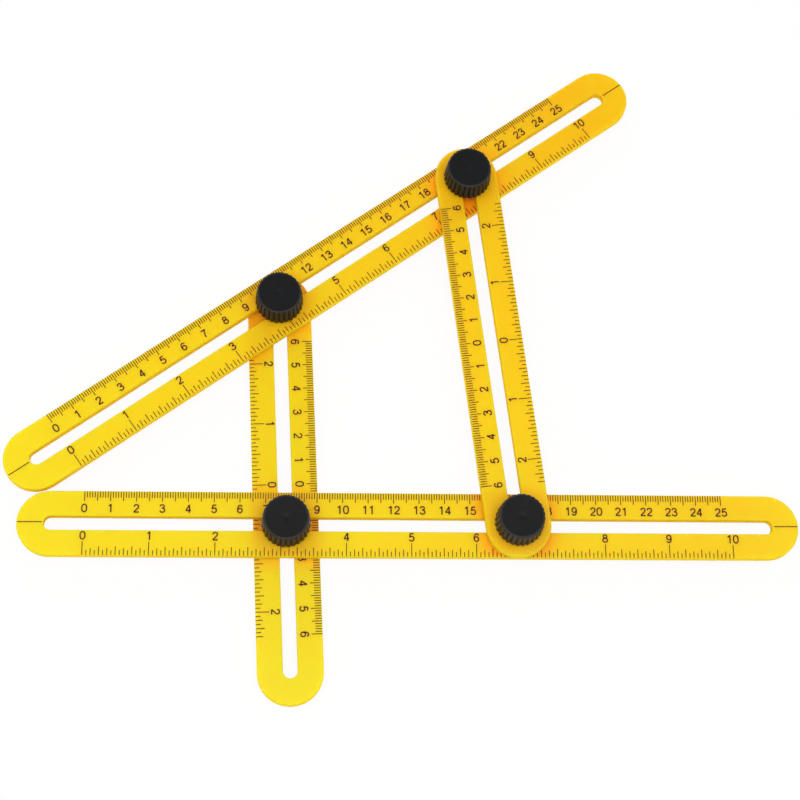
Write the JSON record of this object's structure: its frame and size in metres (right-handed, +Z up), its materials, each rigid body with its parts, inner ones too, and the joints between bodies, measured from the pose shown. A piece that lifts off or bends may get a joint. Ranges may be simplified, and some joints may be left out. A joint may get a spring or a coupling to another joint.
{
  "type": "folding angle finder",
  "caption": "Slotted ruler arms that cross and are clamped by knurled knobs, so that they copy an angle or an outline and hold it as a template.",
  "frame": {"origin": "axis of the lower left bolt, on the plane that the lowest bolt heads rest on", "axes": "+X along the base arm from its zero end to its far end, +Y across it towards the tilted arm, +Z up through the knobs"},
  "size_m": [0.3131, 0.2714, 0.0253],
  "materials": {
    "arm_plastic": "slightly translucent moulded yellow ABS, satin gloss",
    "knob_plastic": "matt black moulded plastic",
    "bolt_steel": "zinc-plated steel",
    "washer_steel": "zinc-plated pressed steel",
    "insert_brass": "machined brass"
  },
  "bodies": {
    "base_arm": {"base_arm": "arm_plastic"},
    "tilted_arm": {"tilted_arm": "arm_plastic"},
    "left_arm": {"left_arm": "arm_plastic"},
    "right_arm": {"right_arm": "arm_plastic"},
    "bolt_lower_left": {"bolt_lower_left": "bolt_steel"},
    "washer_lower_left": {"washer_lower_left": "washer_steel"},
    "insert_lower_left": {"insert_lower_left": "insert_brass"},
    "knob_lower_left": {"knob_lower_left": "knob_plastic"},
    "bolt_upper_left": {"bolt_upper_left": "bolt_steel"},
    "washer_upper_left": {"washer_upper_left": "washer_steel"},
    "insert_upper_left": {"insert_upper_left": "insert_brass"},
    "knob_upper_left": {"knob_upper_left": "knob_plastic"},
    "bolt_upper_right": {"bolt_upper_right": "bolt_steel"},
    "washer_upper_right": {"washer_upper_right": "washer_steel"},
    "insert_upper_right": {"insert_upper_right": "insert_brass"},
    "knob_upper_right": {"knob_upper_right": "knob_plastic"},
    "bolt_lower_right": {"bolt_lower_right": "bolt_steel", "washer_lower_right": "washer_steel"},
    "insert_lower_right": {"insert_lower_right": "insert_brass"},
    "knob_lower_right": {"knob_lower_right": "knob_plastic"}
  },
  "joints": [
    {"name": "base_slot_slide", "type": "slide", "parent": "base_arm", "child": "washer_lower_left", "axis": [1, 0, 0], "range_m": [-0.09, 0.098]},
    {"name": "lower_right_bolt_slide", "type": "slide", "parent": "base_arm", "child": "bolt_lower_right", "axis": [1, 0, 0], "range_m": [-0.0901, 0.0981]},
    {"name": "left_arm_swing", "type": "hinge", "parent": "washer_lower_left", "child": "bolt_lower_left", "pos_m": [0, 0, 0], "axis": [0, 0, 1], "range_deg": [-50, 0]},
    {"name": "left_arm_slide", "type": "slide", "parent": "bolt_lower_left", "child": "left_arm", "axis": [-0.0394, 0.9992, 0], "range_m": [0, 0.056]},
    {"name": "upper_left_bolt_slide", "type": "slide", "parent": "bolt_lower_left", "child": "bolt_upper_left", "axis": [-0.0394, 0.9992, 0], "range_m": [-0.0386, 0]},
    {"name": "tilted_arm_swing", "type": "hinge", "parent": "bolt_upper_left", "child": "washer_upper_left", "pos_m": [-0.00366, 0.09288, 0], "axis": [0, 0, 1], "range_deg": [0, 14.6]},
    {"name": "tilted_arm_slide", "type": "slide", "parent": "washer_upper_left", "child": "tilted_arm", "axis": [0.8146, 0.58, 0], "range_m": [0, 0.115]},
    {"name": "upper_right_bolt_slide", "type": "slide", "parent": "washer_upper_left", "child": "bolt_upper_right", "axis": [0.8146, 0.58, 0], "range_m": [-0.0274, 0]},
    {"name": "right_arm_swing", "type": "hinge", "parent": "bolt_upper_right", "child": "washer_upper_right", "pos_m": [0.07364, 0.14792, 0], "axis": [0, 0, 1], "range_deg": [0, 3.75]},
    {"name": "right_arm_slide", "type": "slide", "parent": "washer_upper_right", "child": "right_arm", "axis": [-0.1142, 0.9935, 0], "range_m": [0, 0.1081]},
    {"name": "knob_turn_lower_left", "type": "hinge", "parent": "insert_lower_left", "child": "knob_lower_left", "pos_m": [0, 0, 0], "axis": [0, 0, 1], "range_deg": [0, 720]},
    {"name": "knob_lift_lower_left", "type": "slide", "parent": "bolt_lower_left", "child": "insert_lower_left", "axis": [0, 0, 1], "range_m": [0, 0.00161]},
    {"name": "knob_turn_upper_left", "type": "hinge", "parent": "insert_upper_left", "child": "knob_upper_left", "pos_m": [-0.00366, 0.09288, 0], "axis": [0, 0, 1], "range_deg": [0, 720]},
    {"name": "knob_lift_upper_left", "type": "slide", "parent": "bolt_upper_left", "child": "insert_upper_left", "axis": [0, 0, 1], "range_m": [0, 0.00161]},
    {"name": "knob_turn_upper_right", "type": "hinge", "parent": "insert_upper_right", "child": "knob_upper_right", "pos_m": [0.07364, 0.14792, 0], "axis": [0, 0, 1], "range_deg": [0, 720]},
    {"name": "knob_lift_upper_right", "type": "slide", "parent": "bolt_upper_right", "child": "insert_upper_right", "axis": [0, 0, 1], "range_m": [0, 0.00161]},
    {"name": "knob_turn_lower_right", "type": "hinge", "parent": "insert_lower_right", "child": "knob_lower_right", "pos_m": [0.09065, 0, 0], "axis": [0, 0, 1], "range_deg": [0, 720]},
    {"name": "knob_lift_lower_right", "type": "slide", "parent": "bolt_lower_right", "child": "insert_lower_right", "axis": [0, 0, 1], "range_m": [0, 0.00161]}
  ],
  "couplings": [
    {"joint": "lower_right_bolt_slide", "follows": "base_slot_slide", "ratio": 1},
    {"joint": "upper_left_bolt_slide", "follows": "left_arm_swing", "m_per_rad": 0.04413},
    {"joint": "tilted_arm_swing", "follows": "left_arm_swing", "ratio": -0.291},
    {"joint": "upper_right_bolt_slide", "follows": "left_arm_swing", "m_per_rad": 0.03133},
    {"joint": "right_arm_swing", "follows": "left_arm_swing", "ratio": -0.0739},
    {"joint": "right_arm_slide", "follows": "left_arm_swing", "m_per_rad": -0.1238},
    {"joint": "knob_lift_lower_left", "follows": "knob_turn_lower_left", "m_per_rad": 0.00012732},
    {"joint": "knob_lift_upper_left", "follows": "knob_turn_upper_left", "m_per_rad": 0.00012732},
    {"joint": "knob_lift_upper_right", "follows": "knob_turn_upper_right", "m_per_rad": 0.00012732},
    {"joint": "knob_lift_lower_right", "follows": "knob_turn_lower_right", "m_per_rad": 0.00012732}
  ]
}
